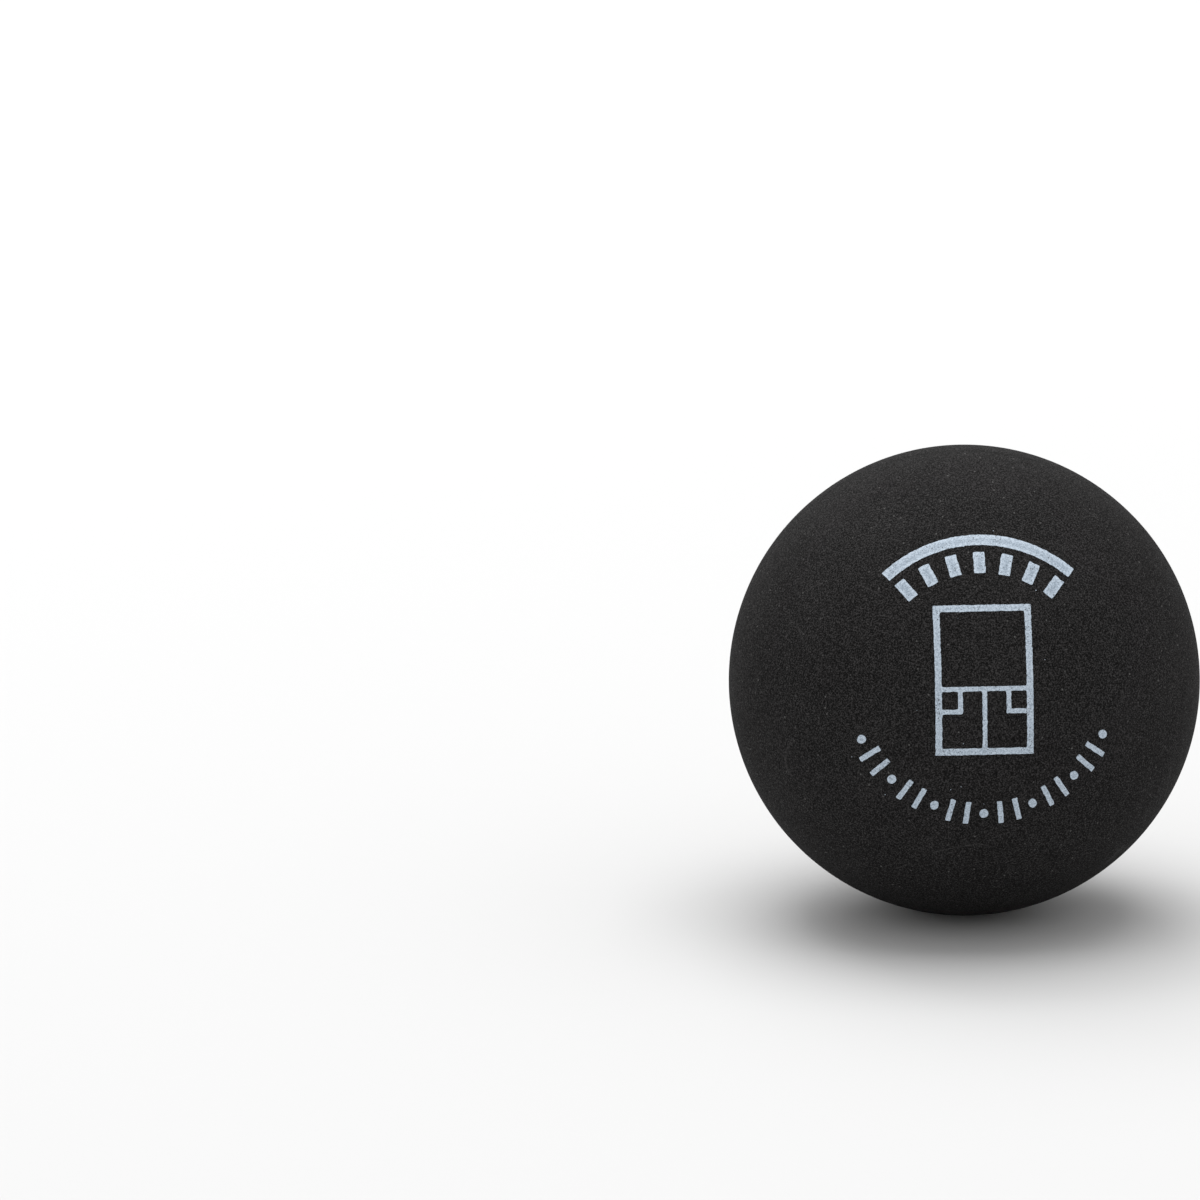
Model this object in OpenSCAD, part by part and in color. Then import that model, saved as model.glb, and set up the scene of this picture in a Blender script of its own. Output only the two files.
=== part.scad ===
// Squash ball: two moulded rubber half shells bonded at a ground and bevelled rim,
// a ring of cured cement in the joint, and thin printed ink marks on the outside.
//
// The origin is the ball's centre. Y is the pole axis of the two shells, so the seam
// lies in the XZ plane. The front of the ball, which carries the print, faces -Y, and +Z is up.

/* [Ball] */
// Outside diameter of the ball
ball_d = 40; // [38:0.5:42]
// Wall of each half shell
wall = 5.2; // [4:0.1:6.5]

/* [Seam] */
// Thickness of the cured cement between the two ground rims
cement_t = 0.15; // [0.1:0.05:0.4]
// Bevel left on the outer edge of each rim, which the cement fills flush
rim_bevel = 0.22; // [0.15:0.01:0.4]
// Radius of the cement bead that was squeezed into the inside
bead_r = 0.5; // [0.3:0.05:0.8]

/* [Print] */
// Thickness of a dry ink film
ink_t = 0.04; // [0.03:0.005:0.08]
// Turn of the print's axis from the front pole towards +X, in degrees
print_turn = 5; // [-30:1:30]
// Rise of the print's axis above the front pole, in degrees
print_rise = 14; // [-30:1:30]

/* [Upper scale] */
// Outer radius of the upper scale, seen along the print's axis
upper_r = 12.2; // [11:0.1:13]
// Width of the upper scale's arc
upper_arc_w = 0.95; // [0.6:0.05:1.2]
// Gap between the arc and the bars under it
upper_gap = 0.5; // [0.3:0.05:0.8]
// Length of an upper bar
upper_bar_l = 1.85; // [1.2:0.05:2.2]
// Width of an upper bar
upper_bar_w = 1.05; // [0.6:0.05:1.2]
// Number of upper bars
upper_bars = 7; // [5:1:9]
// Angle from one upper bar to the next, in degrees
upper_pitch = 13; // [11:0.5:14]

/* [Lower scale] */
// Outer radius of the lower scale, seen along the print's axis
lower_r = 12.15; // [11:0.05:13]
// Length of a lower bar
lower_bar_l = 1.9; // [1.4:0.05:2.4]
// Width of a lower bar
lower_bar_w = 0.52; // [0.3:0.02:0.7]
// Radius of the round marks that part the lower bars into groups
lower_dot_r = 0.42; // [0.3:0.02:0.6]
// Number of marks in the lower scale
lower_marks = 19; // [13:6:25]
// Angle from one lower mark to the next, in degrees
lower_pitch = 7.2; // [5:0.1:8]

/* [Centre figure] */
// Length of the court figure, from front wall to back wall
court_l = 12.6; // [11:0.1:14]
// Width of the court figure
court_w = 8.3; // [7:0.1:9]
// Width of the figure's outline
court_edge_w = 0.62; // [0.4:0.02:0.8]
// Width of the figure's inner lines
court_line_w = 0.46; // [0.3:0.02:0.6]
// Side of a service box, over its outside lines
service_box_w = 2.35; // [1.8:0.05:2.6]

/* [Speed dot] */
// Diameter of the coloured dot on the far side from the print
dot_d = 4.4; // [3:0.1:6]

/* [Hidden] */

// Facets of a full turn where a mesh is drawn
$fn = 240;

ball_r = ball_d / 2;
cavity_r = ball_r - wall;

// Overrun of every cut past the surface that it cuts
overrun = wall / 10;

// The court figure keeps the plan of a real court: the short line's share of its length
short_line_share = 0.56;

// Every third lower mark out from the middle one is round
lower_group = 3;

rubber_black = [0.07, 0.07, 0.07];
cement_black = [0.03, 0.03, 0.03];
ink_silver = [0.66, 0.70, 0.75];
ink_yellow = [0.95, 0.72, 0.10];

// Turns what is drawn about +Z so that it stands about +Y
module about_pole_axis() {
  rotate([-90, 0, 0]) children();
}

// Puts what is drawn about +Z, with +Y up, on the print's axis
module on_print_axis() {
  rotate([0, 0, print_turn]) rotate([90 - print_rise, 0, 0]) children();
}

// The same on the opposite side of the ball
module opposite_the_print() {
  rotate([0, 0, print_turn + 180]) rotate([90 + print_rise, 0, 0]) children();
}

// One moulded cup with its pole at +Z, its rim ground flat and its outer edge bevelled
module half_shell() {
  bevel_foot = ball_r - rim_bevel;
  difference() {
    sphere(r = ball_r);
    sphere(r = cavity_r);
    translate([0, 0, cement_t / 2 - ball_d])
      cylinder(r = ball_d, h = ball_d);
    rotate_extrude()
      polygon([
        [bevel_foot - overrun, cement_t / 2 - overrun],
        [ball_r + overrun, cement_t / 2 - overrun],
        [ball_r + overrun, cement_t / 2 + rim_bevel + overrun]
      ]);
  }
}

module front_half_shell() {
  color(rubber_black) mirror([0, 1, 0]) about_pole_axis() half_shell();
}

module rear_half_shell() {
  color(rubber_black) about_pole_axis() half_shell();
}

// The ring between the rims, which widens to fill both bevels flush with the ball
module cement_ring() {
  bevel_foot = ball_r - rim_bevel;
  inner_edge = cavity_r - bead_r / 2;
  intersection() {
    sphere(r = ball_r);
    rotate_extrude()
      polygon([
        [inner_edge, -cement_t / 2],
        [bevel_foot, -cement_t / 2],
        [ball_r + overrun, -cement_t / 2 - rim_bevel - overrun],
        [ball_r + overrun, cement_t / 2 + rim_bevel + overrun],
        [bevel_foot, cement_t / 2],
        [inner_edge, cement_t / 2]
      ]);
  }
}

// The round bead that stands inside the joint, moulded against the shells' inner wall
module cement_bead() {
  intersection() {
    sphere(r = cavity_r);
    rotate_extrude() translate([cavity_r, 0]) circle(r = bead_r);
  }
}

module seam_cement() {
  color(cement_black) about_pole_axis() union() {
    cement_ring();
    cement_bead();
  }
}

// Lays a flat outline on the ball's surface as a film of ink, seen along +Z
module ink_film() {
  intersection() {
    difference() {
      sphere(r = ball_r + ink_t);
      sphere(r = ball_r);
    }
    translate([0, 0, ball_r / 2])
      linear_extrude(height = ball_r) children();
  }
}

// A flat piece of a ring between two radii, centred on +Y and spanning an angle
module arc_band(outer_r, inner_r, span) {
  reach = 2 * outer_r;
  intersection() {
    difference() {
      circle(r = outer_r);
      circle(r = inner_r);
    }
    polygon([
      [0, 0],
      [-reach * sin(span / 2), reach * cos(span / 2)],
      [reach * sin(span / 2), reach * cos(span / 2)]
    ]);
  }
}

// A flat bar that points at the print's centre, its outer end at outer_r on +Y
module radial_bar(outer_r, l, w) {
  translate([-w / 2, outer_r - l]) square([w, l]);
}

module upper_scale_print() {
  bar_r = upper_r - upper_arc_w - upper_gap;
  half_bar_angle = asin(upper_bar_w / 2 / bar_r);
  color(ink_silver) on_print_axis() ink_film() {
    arc_band(upper_r, upper_r - upper_arc_w, (upper_bars - 1) * upper_pitch + 2 * half_bar_angle);
    for (i = [0 : upper_bars - 1])
      rotate((i - (upper_bars - 1) / 2) * upper_pitch)
        radial_bar(bar_r, upper_bar_l, upper_bar_w);
  }
}

module lower_scale_print() {
  middle = (lower_marks - 1) / 2;
  color(ink_silver) on_print_axis() ink_film() {
    for (i = [-middle : middle])
      rotate(180 + i * lower_pitch)
        if (abs(i) % lower_group == 0)
          translate([0, lower_r - lower_bar_l / 2]) circle(r = lower_dot_r);
        else
          radial_bar(lower_r, lower_bar_l, lower_bar_w);
  }
}

// A flat square frame drawn inside w by h, centred on the origin
module frame_line(w, h, line_w) {
  difference() {
    square([w, h], center = true);
    square([w - 2 * line_w, h - 2 * line_w], center = true);
  }
}

module centre_figure_print() {
  short_line_y = court_l / 2 - court_l * short_line_share;
  box_x = court_w / 2 - service_box_w / 2;
  color(ink_silver) on_print_axis() ink_film() {
    frame_line(court_w, court_l, court_edge_w);
    translate([-court_w / 2, short_line_y - court_line_w / 2]) square([court_w, court_line_w]);
    translate([-court_line_w / 2, -court_l / 2])
      square([court_line_w, court_l / 2 + short_line_y]);
    for (side = [-1, 1])
      translate([side * box_x, short_line_y + court_line_w / 2 - service_box_w / 2])
        frame_line(service_box_w, service_box_w, court_line_w);
  }
}

module speed_dot_print() {
  color(ink_yellow) opposite_the_print() ink_film() circle(d = dot_d);
}

front_half_shell();
rear_half_shell();
seam_cement();
upper_scale_print();
centre_figure_print();
lower_scale_print();
speed_dot_print();
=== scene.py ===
# %% [markdown]
# A squash ball, dressed in Blender
#
# The ball is a hollow rubber ball 40 mm across, made of two moulded cups that are bonded
# rim to rim, buffed to a dull grain and printed with pale ink. The engineering model fixes
# every size. This notebook loads it, builds a finer skin for each visible piece, and gives
# each one the finish of the real material.

# %% Load the engineering model
import math
import random

import bmesh
import bpy
from mathutils import Matrix, Vector, noise
from mathutils.kdtree import KDTree


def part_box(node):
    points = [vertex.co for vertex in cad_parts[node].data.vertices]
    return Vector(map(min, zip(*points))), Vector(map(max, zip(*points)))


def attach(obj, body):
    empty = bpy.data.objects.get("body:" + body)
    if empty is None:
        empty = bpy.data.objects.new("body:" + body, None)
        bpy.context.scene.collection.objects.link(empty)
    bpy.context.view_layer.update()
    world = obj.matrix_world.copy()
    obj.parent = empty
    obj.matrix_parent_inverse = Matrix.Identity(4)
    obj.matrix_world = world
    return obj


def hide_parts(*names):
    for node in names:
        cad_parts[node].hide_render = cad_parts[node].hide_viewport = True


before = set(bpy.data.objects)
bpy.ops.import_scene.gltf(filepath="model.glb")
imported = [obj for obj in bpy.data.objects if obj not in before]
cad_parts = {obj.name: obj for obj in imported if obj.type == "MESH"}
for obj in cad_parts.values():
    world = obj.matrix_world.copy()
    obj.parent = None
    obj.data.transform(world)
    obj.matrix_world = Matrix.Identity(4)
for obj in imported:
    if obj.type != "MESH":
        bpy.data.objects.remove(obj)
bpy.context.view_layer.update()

# %% [markdown]
# The sizes that every piece shares
#
# A cup's box gives the ball's radius and the place of its rim, so those two are read from
# the model. The wall, the bevel, the bead of cement and the film of ink are written out,
# because a box can't show them. Blender works in metres, so each length is a number of
# millimetres times MM.

# %% Read and name the shared sizes
MM = 0.001
cup_low, cup_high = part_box("front_half_shell")
BALL_R = -cup_low.y
RIM_Y = -cup_high.y
WALL = 5.2 * MM
CAVITY_R = BALL_R - WALL
RIM_BEVEL = 0.22 * MM
BEAD_R = 0.5 * MM
INK_T = 0.04 * MM
FULL_TURN = 2 * math.pi
print("ball radius", round(BALL_R / MM, 3), "mm, rim at", round(RIM_Y / MM, 3), "mm")

# %% [markdown]
# A few helpers
#
# Each piece starts as a bmesh and ends as an object at the origin. Nothing is moved or
# scaled as an object, so a pattern that reads Object coordinates sees real metres. The
# whole skin is shaded smooth, and an edge that bends more than a given angle stays sharp.

# %% Helpers that finish a piece
def make_piece(name, bm, material, sharp_angle):
    """Turns a finished bmesh into a smooth-shaded object that rides with the ball."""
    mesh = bpy.data.meshes.new(name)
    bm.to_mesh(mesh)
    bm.free()
    mesh.shade_smooth()
    mesh.set_sharp_from_angle(angle=sharp_angle)
    mesh.materials.append(material)
    piece = bpy.data.objects.new(name, mesh)
    bpy.context.scene.collection.objects.link(piece)
    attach(piece, "root")
    print(name, len(mesh.polygons), "faces")
    return piece


def stands_for(piece, node):
    """Hides the model node that the piece stands for; the piece itself is not used."""
    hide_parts(node)


# %% [markdown]
# How a buffed ball differs from a perfect sphere
#
# After moulding, the ball is tumbled against an abrasive. That takes the shine off and
# leaves it a hundredth of a millimetre or so out of round. A displacement by smooth noise
# is enough for this, as long as every piece asks the same function how high the skin is:
# then the ink and the cement follow the rubber.

# %% The height of the skin in any direction
SWELL_SIZE = 7.0 * MM
SWELL_DEPTH = 0.012 * MM
RIPPLE_SIZE = 1.3 * MM
RIPPLE_DEPTH = 0.004 * MM


def unit_noise(at):
    """Smooth noise from 0 to 1, because mathutils gives it from -1 to 1."""
    return 0.5 + 0.5 * noise.noise(at)


def skin_radius(direction):
    """Distance from the ball's centre to its skin, never more than the true radius."""
    at = direction * BALL_R
    swell = unit_noise(at / SWELL_SIZE)
    ripple = unit_noise(at / RIPPLE_SIZE)
    return BALL_R - SWELL_DEPTH * swell - RIPPLE_DEPTH * ripple


def lay_on_skin(point, lift=0.0):
    """Moves a point in or out along its own radius until it lies on the skin."""
    direction = point.normalized()
    return direction * (skin_radius(direction) + lift)


print("skin at the front", round(skin_radius(Vector((0, -1, 0))) / MM, 4), "mm from the centre")

# %% [markdown]
# Shader building blocks
#
# A dull black is hard to fake with one flat colour. What the eye reads as rubber is a fine
# grain of lighter and darker points, so each material mixes patterns at several sizes.
# These small functions keep the node trees short to read. A noise texture wanders about
# 0.5 and seldom leaves the span from 0.3 to 0.7, so patterns are stretched from that span.

# %% Node helpers for every material
NOISE_MIDDLE = 0.5
NOISE_SPAN = (0.3, 0.7)


def new_material(name):
    """A material with an empty node tree, a Principled shader and Object coordinates."""
    material = bpy.data.materials.new(name)
    material.use_nodes = True
    tree = material.node_tree
    tree.nodes.clear()
    output = tree.nodes.new("ShaderNodeOutputMaterial")
    shader = tree.nodes.new("ShaderNodeBsdfPrincipled")
    place = tree.nodes.new("ShaderNodeTexCoord")
    tree.links.new(shader.outputs["BSDF"], output.inputs["Surface"])
    return material, tree, shader, place.outputs["Object"]


def count_nodes(material):
    """Prints how large a finished material is, and hands it back."""
    print(material.name, "has", len(material.node_tree.nodes), "nodes")
    return material


def noise_pattern(tree, place, size, detail=2.0, roughness=0.5):
    """Soft random blotches about one size across, in metres."""
    node = tree.nodes.new("ShaderNodeTexNoise")
    node.inputs["Scale"].default_value = 1 / size
    node.inputs["Detail"].default_value = detail
    node.inputs["Roughness"].default_value = roughness
    tree.links.new(place, node.inputs["Vector"])
    return node.outputs["Fac"]


def remap(tree, value, low, high, to_low, to_high):
    """Stretches a range of values to another range and clamps what lies outside."""
    node = tree.nodes.new("ShaderNodeMapRange")
    node.inputs["From Min"].default_value = low
    node.inputs["From Max"].default_value = high
    node.inputs["To Min"].default_value = to_low
    node.inputs["To Max"].default_value = to_high
    tree.links.new(value, node.inputs["Value"])
    return node.outputs["Result"]


def calculate(tree, operation, a, b=0):
    """One step of arithmetic on two patterns, or on a pattern and a number."""
    node = tree.nodes.new("ShaderNodeMath")
    node.operation = operation
    for socket, value in zip(node.inputs, (a, b)):
        if isinstance(value, (int, float)):
            socket.default_value = value
        else:
            tree.links.new(value, socket)
    return node.outputs["Value"]


def mix_colour(tree, amount, a, b):
    """Blends two colours, or two colour patterns, by a pattern."""
    node = tree.nodes.new("ShaderNodeMix")
    node.data_type = "RGBA"
    tree.links.new(amount, node.inputs["Factor"])
    # A Mix node repeats its sockets for each kind of data: colours are inputs 6 and 7.
    for socket, value in ((node.inputs[6], a), (node.inputs[7], b)):
        if isinstance(value, tuple):
            socket.default_value = (*value, 1.0)
        else:
            tree.links.new(value, socket)
    return node.outputs[2]


def raise_bump(tree, height, depth, strength, under=None):
    """A bump of that depth in metres, on top of another bump if there is one."""
    node = tree.nodes.new("ShaderNodeBump")
    node.inputs["Strength"].default_value = strength
    node.inputs["Distance"].default_value = depth
    tree.links.new(height, node.inputs["Height"])
    if under is not None:
        tree.links.new(under, node.inputs["Normal"])
    return node.outputs["Normal"]


# %% [markdown]
# Two patterns take several nodes each. Dust comes from a Voronoi texture: each of its
# cells has a point in it, and the texture gives the distance to that point and a random
# colour for the cell, which decides whether there is a dot and how pale it is. A scuff is
# a hairline. The places where a soft noise is at its middle value form a long thin curve,
# and a second noise cuts short pieces out of it.

# %% Node helpers for dust and scuffs
DOT_CORE_SHARE = 0.6
DOT_FAINTEST = 0.35


def round_dots(tree, place, spacing, radius, share):
    """Round dots in a share of the cells, some paler than others: 0 outside a dot."""
    node = tree.nodes.new("ShaderNodeTexVoronoi")
    node.inputs["Scale"].default_value = 1 / spacing
    tree.links.new(place, node.inputs["Vector"])
    edge = radius / spacing
    near = remap(tree, node.outputs["Distance"], DOT_CORE_SHARE * edge, edge, 1, 0)
    split = tree.nodes.new("ShaderNodeSeparateColor")
    tree.links.new(node.outputs["Color"], split.inputs["Color"])
    chosen = calculate(tree, "LESS_THAN", split.outputs["Red"], share)
    pale = remap(tree, split.outputs["Green"], 0, 1, DOT_FAINTEST, 1)
    return calculate(tree, "MULTIPLY", calculate(tree, "MULTIPLY", near, chosen), pale)


HAIRLINE_FADE = 0.06


def hairlines(tree, place, size, width, length, share):
    """Short thin scuffs: slivers of the line on which one soft noise is at its middle."""
    field = noise_pattern(tree, place, size, detail=0.0)
    field = calculate(tree, "SUBTRACT", field, NOISE_MIDDLE)
    line = remap(tree, calculate(tree, "ABSOLUTE", field), 0, width / size, 1, 0)
    chance = noise_pattern(tree, place, length, detail=0.0)
    seen = remap(tree, chance, 1 - share, 1 - share + HAIRLINE_FADE, 0, 1)
    return calculate(tree, "MULTIPLY", line, seen)


# %% [markdown]
# Buffed black rubber
#
# The photograph shows a warm, very dull black with an even grain of about a tenth of a
# millimetre, a few paler specks of dust and filler, and here and there a hairline scuff.
# Colour, roughness and bump all come from the same grain, so a bright point is also a
# slightly raised one. Its colour is partly the rubber's own tone and partly painted light:
# the dark points are painted shade in the pits of the grain, and the light points are
# painted glints on its tops. The cement in the seam wears the same grain, so the grain
# has a function of its own.

# %% The grain that buffing leaves, with painted shade and glints
GRAIN_SIZE = 0.125 * MM
GRAIN_RANGE = (0.472, 0.622)
# The grain's two colours: partly the rubber's tone, partly painted shade in its pits and painted
# glints on its tops.
RUBBER_DARK_PAINTED_SHADE = (0.0050, 0.0048, 0.0048)
RUBBER_LIGHT_PAINTED_GLINT = (0.0500, 0.0480, 0.0482)
DULL_GLOSS = 0.06


def grain_with_painted_light(tree, place):
    """The grain as a height, and the same grain stretched from painted pit shade to painted
    glint.
    """
    grain = noise_pattern(tree, place, GRAIN_SIZE, detail=4.0, roughness=0.75)
    return grain, remap(tree, grain, *GRAIN_RANGE, 0, 1)


# %% [markdown]
# Three wider patterns break up the grain. The tone drifts a little over some millimetres,
# dust sits in dots that are thicker in some places, and scuffs are added on top.

# %% The rubber's material
DRIFT_SIZE = 6.0 * MM
DRIFT = 0.04
SCUFF_BEND = 13.0 * MM
SCUFF_L = 3.0 * MM
SCUFF_W = 0.06 * MM
SCUFF_SHARE = 0.45
SCUFF_STRENGTH = 0.28
DUST = (0.10, 0.0985, 0.0965)
DUST_R = 0.10 * MM
DUST_SPACING = 0.8 * MM
DUST_PATCH = 9.0 * MM
DUST_PATCH_SPAN = (0.4, 0.65)
DUST_SHARES = (0.3, 0.9)
RUBBER_ROUGHNESS = (0.98, 0.82)
GRAIN_DEPTH = 0.03 * MM
GRAIN_BUMP = 0.8
COARSE_SIZE = 0.35 * MM
COARSE_DEPTH = 0.02 * MM
COARSE_BUMP = 0.25


def buffed_rubber():
    """The rubber's whole look: grain with painted shade and glints, drift of tone, scuffs and
    dust.
    """
    material, tree, shader, place = new_material("buffed_rubber")
    grain, shade = grain_with_painted_light(tree, place)
    tone = noise_pattern(tree, place, DRIFT_SIZE, detail=3.0)
    shade = calculate(tree, "ADD", shade, remap(tree, tone, *NOISE_SPAN, -DRIFT, DRIFT))
    scuffs = hairlines(tree, place, SCUFF_BEND, SCUFF_W, SCUFF_L, SCUFF_SHARE)
    shade = calculate(tree, "ADD", shade, calculate(tree, "MULTIPLY", scuffs, SCUFF_STRENGTH))
    # The grain colour in the skin carries painted shade in the pits and painted glints on the
    # tops.
    skin = mix_colour(tree, shade, RUBBER_DARK_PAINTED_SHADE, RUBBER_LIGHT_PAINTED_GLINT)
    patches = noise_pattern(tree, place, DUST_PATCH, detail=1.0)
    share = remap(tree, patches, *DUST_PATCH_SPAN, *DUST_SHARES)
    dust = round_dots(tree, place, DUST_SPACING, DUST_R, share)
    tree.links.new(mix_colour(tree, dust, skin, DUST), shader.inputs["Base Color"])
    roughness = remap(tree, grain, *NOISE_SPAN, *RUBBER_ROUGHNESS)
    tree.links.new(roughness, shader.inputs["Roughness"])
    fine = raise_bump(tree, grain, GRAIN_DEPTH, GRAIN_BUMP)
    coarse = noise_pattern(tree, place, COARSE_SIZE, detail=1.0)
    bumps = raise_bump(tree, coarse, COARSE_DEPTH, COARSE_BUMP, under=fine)
    tree.links.new(bumps, shader.inputs["Normal"])
    shader.inputs["Specular IOR Level"].default_value = DULL_GLOSS
    return count_nodes(material)


rubber = buffed_rubber()

# %% [markdown]
# The two rubber cups
#
# Each cup is half of a thick-walled ball. Spinning a profile would be short, but it packs
# thin triangles round the front pole, right beside the print. An icosphere has even
# triangles everywhere, so the outside is one of those, cut at the bevel with bisect_plane.
# The cut leaves some very short edges, which are merged. The bevel, the rim and the inside
# are then drawn from the edge, one extruded ring at a time, and the last ring is closed.

# %% A cup built from half an icosphere
CUP_DETAIL = 7
CUP_SHARP = math.radians(40)
INNER_RINGS = 24
RIM_WELD = 0.02 * MM


def next_ring(bm, ring_edges, radius, y):
    """Extrudes an open edge and moves the new ring to a radius about Y and a height on Y."""
    made = bmesh.ops.extrude_edge_only(bm, edges=ring_edges)["geom"]
    for vert in (g for g in made if isinstance(g, bmesh.types.BMVert)):
        flat = Vector((vert.co.x, 0, vert.co.z)).normalized()
        vert.co = flat * radius + Vector((0, y, 0))
    return [g for g in made if isinstance(g, bmesh.types.BMEdge) and g.is_boundary]


def half_ball_skin(side):
    """The outer skin on one side of the seam, open at the foot of its bevel."""
    bm = bmesh.new()
    bmesh.ops.create_icosphere(bm, subdivisions=CUP_DETAIL, radius=BALL_R)
    bmesh.ops.bisect_plane(
        bm,
        geom=bm.verts[:] + bm.edges[:] + bm.faces[:],
        plane_co=(0, side * (RIM_Y + RIM_BEVEL), 0),
        plane_no=(0, -side, 0),
        clear_outer=True,
    )
    edge = [v for v in bm.verts if v.is_boundary]
    bmesh.ops.remove_doubles(bm, verts=edge, dist=RIM_WELD)
    for vert in bm.verts:
        vert.co = lay_on_skin(vert.co)
    return bm


def rubber_cup(name, side, node):
    """The front cup has side -1 and the rear one has side 1, as their Y has."""
    bm = half_ball_skin(side)
    ring = [e for e in bm.edges if e.is_boundary]
    ring = next_ring(bm, ring, BALL_R - RIM_BEVEL, side * RIM_Y)
    ring = next_ring(bm, ring, CAVITY_R, side * RIM_Y)
    for i in range(1, INNER_RINGS):
        climb = math.pi / 2 * i / INNER_RINGS
        ring = next_ring(bm, ring, CAVITY_R * math.cos(climb), side * CAVITY_R * math.sin(climb))
    print(name, "closes at a pole ring of", len(ring), "points")
    bmesh.ops.contextual_create(bm, geom=ring)
    bmesh.ops.recalc_face_normals(bm, faces=bm.faces)
    stands_for(make_piece(name, bm, rubber, CUP_SHARP), node)


rubber_cup("front_rubber_cup", -1, "front_half_shell")
rubber_cup("rear_rubber_cup", 1, "rear_half_shell")

# %% [markdown]
# The cement in the seam
#
# Rubber cement fills the small V between the two bevels and cures almost flush. Buffing
# smears rubber dust over it, so the cement only shows bare as a fine dark line along the
# middle, broken where it is worn. A painted line would need an image that is unwrapped
# round the ball. The distance to the plane of the seam does the same without one: it is
# the Y of the Object coordinates, with a little noise added so that the line wanders.

# %% The cement's material
CEMENT_DARK = (0.001, 0.001, 0.001)
CEMENT_LIGHT = (0.020, 0.0195, 0.019)
LINE_EDGES = (0.09 * MM, 0.22 * MM)
LINE_WANDER = 0.04 * MM
WANDER_SIZE = 0.9 * MM
WEAR_SIZE = 5.0 * MM
WEAR_SPAN = (0.4, 0.62)
WEAR_MOST = 0.65
CEMENT_ROUGHNESS = (0.9, 0.75)
CEMENT_DEPTH = 0.02 * MM
CEMENT_BUMP = 0.5


def cured_cement():
    """Bare cement along the middle of the seam, smeared with rubber on both sides."""
    material, tree, shader, place = new_material("cured_cement")
    grain, shade = grain_with_painted_light(tree, place)
    # The buffed and the bare grain colours both carry painted shade in the pits and painted
    # glints on the tops.
    buffed = mix_colour(tree, shade, RUBBER_DARK_PAINTED_SHADE, RUBBER_LIGHT_PAINTED_GLINT)
    bare = mix_colour(tree, shade, CEMENT_DARK, CEMENT_LIGHT)
    across = tree.nodes.new("ShaderNodeSeparateXYZ")
    tree.links.new(place, across.inputs["Vector"])
    sway = noise_pattern(tree, place, WANDER_SIZE)
    sway = remap(tree, sway, *NOISE_SPAN, -LINE_WANDER, LINE_WANDER)
    off_line = calculate(tree, "ABSOLUTE", calculate(tree, "ADD", across.outputs["Y"], sway))
    aside = remap(tree, off_line, *LINE_EDGES, 0, 1)
    wear = noise_pattern(tree, place, WEAR_SIZE, detail=3.0)
    worn = remap(tree, wear, *WEAR_SPAN, 0, WEAR_MOST)
    smeared = calculate(tree, "MAXIMUM", aside, worn)
    tree.links.new(mix_colour(tree, smeared, bare, buffed), shader.inputs["Base Color"])
    roughness = remap(tree, grain, *NOISE_SPAN, *CEMENT_ROUGHNESS)
    tree.links.new(roughness, shader.inputs["Roughness"])
    bump = raise_bump(tree, grain, CEMENT_DEPTH, CEMENT_BUMP)
    tree.links.new(bump, shader.inputs["Normal"])
    shader.inputs["Specular IOR Level"].default_value = DULL_GLOSS
    return count_nodes(material)


# %% [markdown]
# Between the rims the cement is a thin washer. Outside it widens into the V of the bevels,
# and inside, what was squeezed out stands as a round bead. The section is drawn once and
# spun about the pole axis. Its outer points are then laid on the skin, a little sunk. The
# signed volume is printed, because a section that crosses itself shows there as a number
# that is too small or negative.

# %% The ring of cement
SEAM_STEPS = 540
SEAM_SINK = 0.006 * MM
MOUTH_SPLITS = 6
BEAD_SPLITS = 8


def seam_section():
    """The ring's section as points of (distance from Y, height on Y), once round."""
    mouth = RIM_Y + RIM_BEVEL
    heights = [mouth * (2 * k / MOUTH_SPLITS - 1) for k in range(MOUTH_SPLITS + 1)]
    outside = [(math.sqrt(BALL_R**2 - y * y), y) for y in heights]
    turns = [math.pi * k / BEAD_SPLITS for k in range(BEAD_SPLITS + 1)]
    bead = [(CAVITY_R - BEAD_R * math.sin(a), BEAD_R * math.cos(a)) for a in turns]
    foot = BALL_R - RIM_BEVEL
    rear_rim = [(foot, RIM_Y), (CAVITY_R, RIM_Y)]
    front_rim = [(CAVITY_R, -RIM_Y), (foot, -RIM_Y)]
    return outside + rear_rim + bead + front_rim


def cement_ring(name, node):
    """Spins the section round the pole axis and lays its outside on the skin."""
    bm = bmesh.new()
    points = [bm.verts.new((r, y, 0)) for r, y in seam_section()]
    edges = [bm.edges.new((a, b)) for a, b in zip(points, points[1:] + points[:1])]
    bmesh.ops.spin(
        bm, geom=points + edges, axis=(0, 1, 0), cent=(0, 0, 0),
        angle=FULL_TURN, steps=SEAM_STEPS, use_merge=True,
    )
    for vert in bm.verts:
        if vert.co.length > BALL_R - RIM_BEVEL / 2:
            vert.co = lay_on_skin(vert.co, -SEAM_SINK)
    bmesh.ops.recalc_face_normals(bm, faces=bm.faces)
    print(name, "holds", round(bm.calc_volume(signed=True) / MM**3, 1), "cubic mm")
    stands_for(make_piece(name, bm, cured_cement(), CUP_SHARP), node)


cement_ring("seam_cement_ring", "seam_cement")

# %% [markdown]
# Printed ink
#
# The ball is pad printed: a soft pad presses a film of ink onto the curved skin. Seen
# straight on, the film is a flat drawing, so each mark is drawn as a flat, finely divided
# sheet, laid on the skin along the print's own axis, and then given its thickness. The
# marks are plain: a scale above, the plan of a court in the middle and a scale below.

# %% The print's own axes
PRINT_TURN = math.radians(5)
PRINT_RISE = math.radians(14)


def axes_towards(turn, rise):
    """Right, up and outward directions of a print that faces a turn and a rise."""
    level = math.cos(rise)
    out = Vector((math.sin(turn) * level, -math.cos(turn) * level, math.sin(rise)))
    right = Vector((math.cos(turn), math.sin(turn), 0))
    return right, out.cross(right), out


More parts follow.
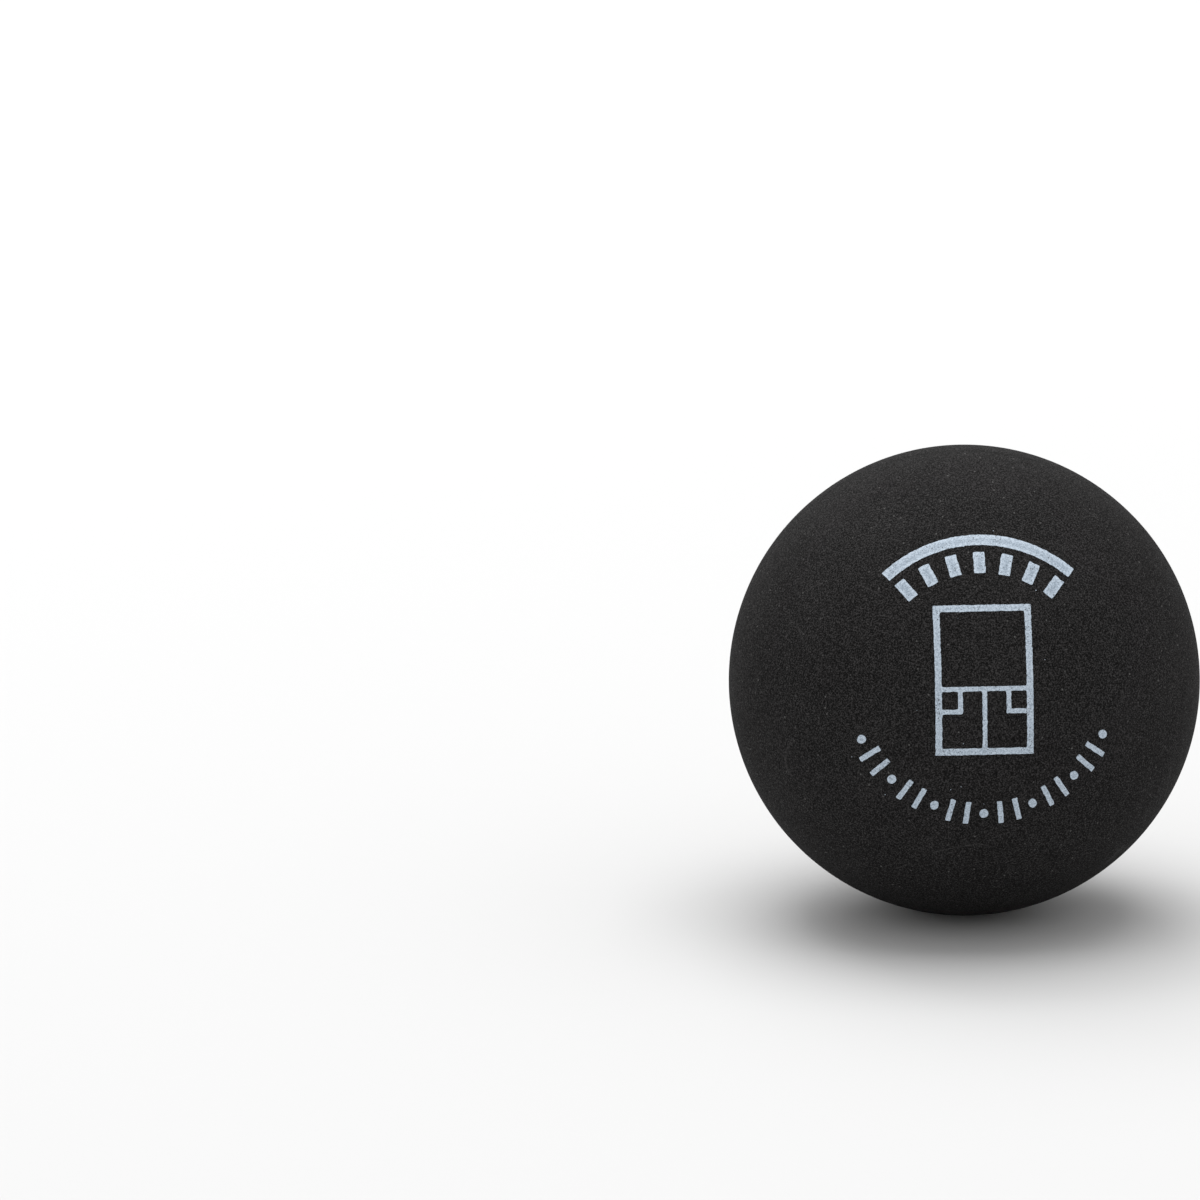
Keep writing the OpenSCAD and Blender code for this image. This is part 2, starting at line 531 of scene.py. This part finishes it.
PRINT_AXES = axes_towards(PRINT_TURN, PRINT_RISE)
DOT_AXES = axes_towards(PRINT_TURN + math.pi, -PRINT_RISE)
print("the print faces", [round(part, 3) for part in PRINT_AXES[2]])

# %% [markdown]
# The ink's edge is crisp but never perfect: it creeps into the grain by a few hundredths
# of a millimetre. A little noise in the flat drawing does that before it is bent, and
# smooth_vert takes the points off the corners first. Points that lie on one another are
# merged before that, over a distance that is far smaller than the smallest speck.

# %% Roughen the edge of a flat drawing
PRINT_WELD = 0.001 * MM
CORNER_PASSES = 2
CREEP_SIZE = 0.28 * MM
CREEP = 0.045 * MM
CREEP_OFFSET = Vector((0, 0, 40))


def creep(point):
    """A small sideways shift that makes a straight edge slightly ragged."""
    at = point / CREEP_SIZE
    return Vector((noise.noise(at), noise.noise(at + CREEP_OFFSET), 0)) * CREEP


def roughen(bm):
    """Merges double points, rounds the corners and lets the whole outline creep."""
    bmesh.ops.remove_doubles(bm, verts=bm.verts, dist=PRINT_WELD)
    for _ in range(CORNER_PASSES):
        edge = [v for v in bm.verts if v.is_boundary]
        bmesh.ops.smooth_vert(bm, verts=edge, factor=0.5, use_axis_x=True, use_axis_y=True)
    for vert in bm.verts:
        vert.co += creep(vert.co)


# %% [markdown]
# The film is bent point by point: a flat place becomes a point of the ball straight below
# it, as under a pad. A Shrinkwrap modifier would do nearly the same, but this way the film
# and the rubber share one height of the skin. The faces are turned outwards before the
# film gets its thickness, and its root goes a little below the skin so that no gap shows.
# Each point also keeps its distance from the mark's edge, in millimetres, which the ink's
# material reads later.

# %% Lay a flat drawing on the ball as a film
ROOT_DEPTH = 0.012 * MM
PRINT_SHARP = math.radians(50)
mark_points = []


def search_tree(points):
    """A tree that finds the nearest of some points quickly."""
    tree = KDTree(len(points))
    for i, point in enumerate(points):
        tree.insert(point, i)
    tree.balance()
    return tree


def bend(bm, axes, film):
    """Lays a flat drawing on the skin along its own axis, and gives it thickness inwards."""
    right, up, out = axes
    for vert in bm.verts:
        depth = math.sqrt(BALL_R**2 - vert.co.x**2 - vert.co.y**2)
        vert.co = lay_on_skin(right * vert.co.x + up * vert.co.y + out * depth, film)
    bmesh.ops.recalc_face_normals(bm, faces=bm.faces)
    inward = [f for f in bm.faces if f.normal.dot(f.calc_center_median()) < 0]
    bmesh.ops.reverse_faces(bm, faces=inward)
    bmesh.ops.solidify(bm, geom=bm.faces[:], thickness=film + ROOT_DEPTH)


def print_on_ball(name, bm, material, axes, film=INK_T):
    """Turns a flat drawing into a film of ink, and notes its outline for later."""
    roughen(bm)
    edge = [v.co.copy() for v in bm.verts if v.is_boundary]
    mark_points.extend(edge)
    outline = search_tree(edge)
    bend(bm, axes, film)
    right, up, _ = axes
    inset = bm.verts.layers.float.new("from_edge")
    for vert in bm.verts:
        _, _, distance = outline.find((vert.co.dot(right), vert.co.dot(up), 0))
        vert[inset] = distance / MM
    return make_piece(name, bm, material, PRINT_SHARP)


# %% [markdown]
# Three shapes draw every mark: a bar, a round dot and a band of an arc. The bar is a grid:
# a size of 0.5 makes it one metre wide, and its matrix scales it from there. The dot and
# the band are a short row of points that is spun round. All are divided into cells smaller
# than the ragged bits of the edge, because a mesh only bends and creeps where it has points.

# %% Flat shapes, drawn in metres about the print's centre
CELL = 0.13 * MM
DOT_LEAST_SIDES = 20


def cells(length, least):
    """How many cells a length is divided into."""
    return max(least, round(length / CELL))


def turned(angle):
    """A turn in the plane of the print, from straight up towards its left."""
    return Matrix.Rotation(angle, 4, "Z")


def flat_bar(bm, width, length, outer_r, angle):
    """A bar that points at the centre, its outer end at outer_r, turned from straight up."""
    place = turned(angle) @ Matrix.Translation((0, outer_r - length / 2, 0))
    bmesh.ops.create_grid(
        bm, x_segments=cells(width, 2), y_segments=cells(length, 2), size=0.5,
        matrix=place @ Matrix.Diagonal((width, length, 1, 1)),
    )


def flat_spin(bm, points, centre, angle, steps):
    """Spins a row of points about a centre into a flat fan or band."""
    row = [bm.verts.new(p) for p in points]
    edges = [bm.edges.new(pair) for pair in zip(row, row[1:])]
    bmesh.ops.spin(
        bm, geom=row + edges, cent=centre, axis=(0, 0, 1),
        angle=angle, steps=steps, use_merge=(angle == FULL_TURN),
    )


def flat_dot(bm, radius, centre):
    """A round dot, from a row of points that runs from its centre to its edge."""
    rings = cells(radius, 3)
    row = [centre + Vector((radius * k / rings, 0, 0)) for k in range(rings + 1)]
    flat_spin(bm, row, centre, FULL_TURN, cells(FULL_TURN * radius, DOT_LEAST_SIDES))


def flat_band(bm, outer_r, width, span):
    """A band of an arc centred straight up from the print's centre."""
    rows = cells(width, 3)
    start = turned(-span / 2)
    row = [start @ Vector((0, outer_r - width * k / rows, 0)) for k in range(rows + 1)]
    flat_spin(bm, row, Vector((0, 0, 0)), span, cells(span * outer_r, 1))


# %% [markdown]
# The ink's finish
#
# The silver-grey ink is thin and a little blue. A pad squeezes ink outwards, so a mark is
# fullest in a bead along its edge and starved inside. It lies on a grain, so it is
# mottled, and the tops of the grain poke through as dark pinholes, more of them where the
# pad pressed lightly. One function serves both inks, because only the colour differs.

# %% The ink's material
EDGE_BEAD_MM = (0.14, 0.40)
STARVED = 0.45
MOTTLE_SIZE = 0.13 * MM
MOTTLE_RANGE = (0.33, 0.6)
MOTTLE_DEPTH = 0.02 * MM
MOTTLE_BUMP = 0.3
PRESS_SIZE = 1.6 * MM
PRESS_SPAN = (0.35, 0.65)
PINHOLE_SIZE = 0.14 * MM
PINHOLE_LEVELS = (0.30, 0.40)
PINHOLE_EDGE = 0.06
PINHOLE_MOST = 0.8
INK_ROUGHNESS = (0.62, 0.48)
INK_GLOSS = 0.25


def inset_pattern(tree, near, far):
    """0 beside a mark's edge and 1 deep inside it, from the distance kept in millimetres."""
    node = tree.nodes.new("ShaderNodeAttribute")
    node.attribute_name = "from_edge"
    return remap(tree, node.outputs["Fac"], near, far, 0, 1)


def pinholes(tree, place):
    """Where the grain pokes through the film, more so where the pad pressed lightly."""
    pressed = noise_pattern(tree, place, PRESS_SIZE, detail=1.0)
    level = remap(tree, pressed, *PRESS_SPAN, *PINHOLE_LEVELS)
    fine = noise_pattern(tree, place, PINHOLE_SIZE, detail=1.0, roughness=0.7)
    depth = calculate(tree, "SUBTRACT", level, fine)
    return remap(tree, depth, 0, PINHOLE_EDGE, 0, PINHOLE_MOST)


def printed_ink(name, thin, full, under):
    """An ink from its colour where it is thin, where it is full, and what shows under it."""
    material, tree, shader, place = new_material(name)
    mottle = noise_pattern(tree, place, MOTTLE_SIZE, detail=2.0, roughness=0.7)
    starved = calculate(tree, "MULTIPLY", inset_pattern(tree, *EDGE_BEAD_MM), STARVED)
    shade = calculate(tree, "SUBTRACT", remap(tree, mottle, *MOTTLE_RANGE, 0, 1), starved)
    cover = mix_colour(tree, shade, thin, full)
    film = mix_colour(tree, pinholes(tree, place), cover, under)
    tree.links.new(film, shader.inputs["Base Color"])
    roughness = remap(tree, mottle, *NOISE_SPAN, *INK_ROUGHNESS)
    tree.links.new(roughness, shader.inputs["Roughness"])
    bump = raise_bump(tree, mottle, MOTTLE_DEPTH, MOTTLE_BUMP)
    tree.links.new(bump, shader.inputs["Normal"])
    shader.inputs["Specular IOR Level"].default_value = INK_GLOSS
    return count_nodes(material)


silver_ink = printed_ink(
    "silver_ink",
    thin=(0.265, 0.323, 0.388),
    full=(0.524, 0.608, 0.698),
    under=(0.043, 0.043, 0.043),
)
yellow_ink = printed_ink(
    "yellow_ink",
    thin=(0.66, 0.36, 0.01),
    full=(0.81, 0.48, 0.03),
    under=(0.06, 0.04, 0.01),
)

# %% [markdown]
# The scale above the figure
#
# One bold band of an arc with seven short bars hanging under it. The bars are set out by
# angle, and the band is made just long enough to end flush with the outer two.

# %% Print the upper scale
UPPER_R = 12.2 * MM
UPPER_BAND = 0.95 * MM
UPPER_GAP = 0.5 * MM
UPPER_BAR = (1.05 * MM, 1.85 * MM)
UPPER_BARS = 7
UPPER_PITCH = math.radians(13)


def upper_scale():
    """The band and its bars, still flat."""
    bm = bmesh.new()
    bar_w, bar_l = UPPER_BAR
    bar_r = UPPER_R - UPPER_BAND - UPPER_GAP
    ends = 2 * math.asin(bar_w / 2 / bar_r)
    flat_band(bm, UPPER_R, UPPER_BAND, (UPPER_BARS - 1) * UPPER_PITCH + ends)
    for i in range(UPPER_BARS):
        flat_bar(bm, bar_w, bar_l, bar_r, (i - (UPPER_BARS - 1) / 2) * UPPER_PITCH)
    return bm


upper_marks = print_on_ball("printed_upper_scale", upper_scale(), silver_ink, PRINT_AXES)
stands_for(upper_marks, "upper_scale_print")

# %% [markdown]
# The scale below the figure
#
# A finer row of bars, with a round mark at every third place. Counted from the middle,
# the places run evenly both ways, so the row is the same on its left and its right.

# %% Print the lower scale
LOWER_R = 12.15 * MM
LOWER_BAR = (0.52 * MM, 1.9 * MM)
LOWER_DOT_R = 0.42 * MM
LOWER_MARKS = 19
LOWER_GROUP = 3
LOWER_PITCH = math.radians(7.2)


def lower_scale():
    """The bars and the dots, still flat."""
    bm = bmesh.new()
    bar_w, bar_l = LOWER_BAR
    middle = LOWER_MARKS // 2
    for i in range(-middle, middle + 1):
        angle = math.pi + i * LOWER_PITCH
        if abs(i) % LOWER_GROUP == 0:
            flat_dot(bm, LOWER_DOT_R, turned(angle) @ Vector((0, LOWER_R - bar_l / 2, 0)))
        else:
            flat_bar(bm, bar_w, bar_l, LOWER_R, angle)
    return bm


lower_marks = print_on_ball("printed_lower_scale", lower_scale(), silver_ink, PRINT_AXES)
stands_for(lower_marks, "lower_scale_print")

# %% [markdown]
# The plan of a court
#
# The lines of a court are one connected drawing, so separate bars would overlap where
# they cross. A single sheet is cut by planes along every line's edges instead, and the
# cells that aren't inked are deleted.

# %% Print the court figure
COURT_W = 8.3 * MM
COURT_L = 12.6 * MM
EDGE_W = 0.62 * MM
LINE_W = 0.46 * MM
BOX_W = 2.35 * MM
SHORT_LINE_SHARE = 0.56
HALF_W = COURT_W / 2
HALF_L = COURT_L / 2
SHORT_LINE_Y = HALF_L - COURT_L * SHORT_LINE_SHARE
BOX_TOP = SHORT_LINE_Y + LINE_W / 2
BOX_BOTTOM = BOX_TOP - BOX_W
BOX_SIDE = HALF_W - BOX_W


def court_inks(x, y):
    """True where the court's plan is inked."""
    x = abs(x)
    edge = x > HALF_W - EDGE_W or abs(y) > HALF_L - EDGE_W
    short_line = abs(y - SHORT_LINE_Y) < LINE_W / 2
    half_line = x < LINE_W / 2 and y < SHORT_LINE_Y
    in_box = x > BOX_SIDE and BOX_BOTTOM < y < BOX_TOP
    deep = x > BOX_SIDE + LINE_W and BOX_BOTTOM + LINE_W < y
    return edge or short_line or half_line or (in_box and not deep)


def cut_lines(edges):
    """All edges but the outer two, with evenly spaced cuts about a cell apart."""
    edges = sorted(edges)
    lines = []
    for a, b in zip(edges, edges[1:]):
        parts = cells(b - a, 1)
        lines += [a + (b - a) * k / parts for k in range(parts)]
    return lines[1:]


def cut_sheet(bm, axis, places):
    """Cuts the flat sheet square to an axis, at each place along it."""
    for place in places:
        everything = bm.verts[:] + bm.edges[:] + bm.faces[:]
        bmesh.ops.bisect_plane(bm, geom=everything, plane_co=axis * place, plane_no=axis)


def court_figure():
    """The lines of the court, still flat."""
    bm = bmesh.new()
    sheet = Matrix.Diagonal((COURT_W, COURT_L, 1, 1))
    bmesh.ops.create_grid(bm, x_segments=1, y_segments=1, size=0.5, matrix=sheet)
    xs = {HALF_W, HALF_W - EDGE_W, LINE_W / 2, BOX_SIDE, BOX_SIDE + LINE_W}
    ys = {-HALF_L, EDGE_W - HALF_L, HALF_L - EDGE_W, HALF_L}
    ys |= {BOX_TOP, BOX_TOP - LINE_W, BOX_BOTTOM, BOX_BOTTOM + LINE_W}
    cut_sheet(bm, Vector((1, 0, 0)), cut_lines(xs | {-x for x in xs}))
    cut_sheet(bm, Vector((0, 1, 0)), cut_lines(ys))
    bare = [f for f in bm.faces if not court_inks(*f.calc_center_median().xy)]
    bmesh.ops.delete(bm, geom=bare, context="FACES")
    return bm


court_lines = print_on_ball("printed_court_figure", court_figure(), silver_ink, PRINT_AXES)
stands_for(court_lines, "centre_figure_print")

# %% [markdown]
# Stray specks of ink
#
# A pad that is lifted off a grain always drops some specks beside the drawing. They are
# eight-sided discs less than a tenth of a millimetre across, so their film is thinner than
# a mark's: a thick one would stand up like a peg. A seeded generator scatters them over
# the print's area, and a search tree of the marks' own outlines keeps them off the marks.

# %% Print the stray specks
SPECKS = 12
SPECK_R = (0.023 * MM, 0.052 * MM)
SPECK_T = 0.015 * MM
SPECK_SIDES = 8
SPECK_SEED = 11
SPECK_FIELD_R = 12.8 * MM
SPECK_NEAR = 0.4 * MM
SPECK_FAR = 1.6 * MM


def stray_specks():
    """Discs at random places that are near a mark but not on it."""
    marks = search_tree(mark_points)
    dice = random.Random(SPECK_SEED)
    bm = bmesh.new()
    placed = 0
    while placed < SPECKS:
        around = turned(dice.uniform(0, FULL_TURN))
        spot = around @ Vector((0, SPECK_FIELD_R * math.sqrt(dice.random()), 0))
        _, _, distance = marks.find(spot)
        if SPECK_NEAR < distance < SPECK_FAR:
            bmesh.ops.create_circle(
                bm, cap_ends=True, segments=SPECK_SIDES,
                radius=dice.uniform(*SPECK_R), matrix=Matrix.Translation(spot),
            )
            placed += 1
    return bm


specks_of_ink = stray_specks()
stray = print_on_ball("printed_stray_specks", specks_of_ink, silver_ink, PRINT_AXES, SPECK_T)

# %% [markdown]
# The speed dot
#
# A round yellow dot on the far side tells how lively the ball is. It is a film of ink as
# the other marks are, laid on along an axis that points the opposite way.

# %% Print the speed dot
DOT_R = 2.2 * MM


def speed_dot():
    """The dot, still flat."""
    bm = bmesh.new()
    flat_dot(bm, DOT_R, Vector((0, 0, 0)))
    return bm


yellow_dot = print_on_ball("printed_speed_dot", speed_dot(), yellow_ink, DOT_AXES)
stands_for(yellow_dot, "speed_dot_print")

# %% [markdown]
# A plain pale floor
#
# The ball rests at one point, so the floor lies one radius under its centre. It is a light
# grey under strong light: the picture shows it as white, and yet it throws less light up at
# the ball than a white floor would, so the underside stays dark.

# %% The floor
FLOOR_HALF = 4.0
FLOOR_TONES = ((0.59, 0.59, 0.59), (0.61, 0.61, 0.61))
FLOOR_PATCH = 0.4
FLOOR_ROUGHNESS = 0.9


def pale_floor():
    """A flat square for the stage, FLOOR_HALF metres from its middle to each side."""
    bm = bmesh.new()
    bmesh.ops.create_grid(bm, x_segments=1, y_segments=1, size=FLOOR_HALF)
    bmesh.ops.translate(bm, verts=bm.verts, vec=(0, 0, -BALL_R))
    mesh = bpy.data.meshes.new("floor")
    bm.to_mesh(mesh)
    bm.free()
    floor = bpy.data.objects.new("floor", mesh)
    bpy.context.scene.collection.objects.link(floor)
    material, tree, shader, place = new_material("pale_floor")
    tone = noise_pattern(tree, place, FLOOR_PATCH, detail=1.0)
    colour = mix_colour(tree, tone, *FLOOR_TONES)
    tree.links.new(colour, shader.inputs["Base Color"])
    shader.inputs["Roughness"].default_value = FLOOR_ROUGHNESS
    mesh.materials.append(count_nodes(material))


pale_floor()

# %% [markdown]
# Soft studio light
#
# The ball is brightest on top and darkest underneath, and its rim is a little paler all
# round. Two broad panels give the first two, one overhead and one behind on the left, and a
# bright surround gives the rim. The Standard view is chosen over Blender's filmic ones,
# because they would turn the white of the floor into grey.

# %% Lights
SURROUND_STRENGTH = 0.8


def soft_panel(name, place, size, power):
    """A square area light that faces the ball."""
    light = bpy.data.lights.new(name, "AREA")
    light.shape = "SQUARE"
    light.size = size
    light.energy = power
    lamp = bpy.data.objects.new(name, light)
    lamp.location = place
    lamp.rotation_euler = (-Vector(place)).to_track_quat("-Z", "Y").to_euler()
    bpy.context.scene.collection.objects.link(lamp)
    print(name, "gives", power, "W from", round(Vector(place).length, 2), "m")


soft_panel("overhead_panel", place=(0.0, 0.1, 1.0), size=0.9, power=6.8)
soft_panel("rear_left_panel", place=(-0.3, 0.8, 1.0), size=0.9, power=7.0)

world = bpy.data.worlds.new("surround")
world.use_nodes = True
background = world.node_tree.nodes["Background"]
background.inputs["Color"].default_value = (1, 1, 1, 1)
background.inputs["Strength"].default_value = SURROUND_STRENGTH
bpy.context.scene.world = world
bpy.context.scene.view_settings.view_transform = "Standard"

# %% [markdown]
# The camera
#
# The picture was taken from well away with a long lens, 14 degrees above the floor. The
# ball's place in the frame comes from its outline: the circle's centre and radius in
# pixels, in a frame 1200 pixels wide. The camera aims beside the ball, at what lies in the
# middle of the picture. A Track To constraint could aim it, but beside the ball it would
# roll the picture a little, so the turn is built from three directions instead.

# %% Place the camera
FRAME_PX = 1200
BALL_PX = (964.2, 680.0)
BALL_R_PX = 235.5
CAMERA_RISE = math.radians(14)
CAMERA_DISTANCE = 1.31
SENSOR_MM = 36
CLIP_END = 20

px = BALL_R / BALL_R_PX  # metres to a pixel, at the ball
camera_data = bpy.data.cameras.new("camera")
camera_data.sensor_width = SENSOR_MM
camera_data.lens = SENSOR_MM * CAMERA_DISTANCE / (FRAME_PX * px)
camera_data.clip_end = CLIP_END
camera = bpy.data.objects.new("camera", camera_data)
bpy.context.scene.collection.objects.link(camera)
bpy.context.scene.camera = camera
eye = Vector((0, -math.cos(CAMERA_RISE), math.sin(CAMERA_RISE))) * CAMERA_DISTANCE
up = Vector((0, math.sin(CAMERA_RISE), math.cos(CAMERA_RISE)))
ball_across, ball_down = BALL_PX
aim = Vector((1, 0, 0)) * (FRAME_PX / 2 - ball_across) * px
aim += up * (ball_down - FRAME_PX / 2) * px
camera.location = eye
ahead = (aim - eye).normalized()
right = ahead.cross(up).normalized()
camera.rotation_euler = Matrix((right, right.cross(ahead), -ahead)).transposed().to_euler()
print("lens", round(camera_data.lens, 1), "mm, frame", round(FRAME_PX * px / MM, 1), "mm wide")
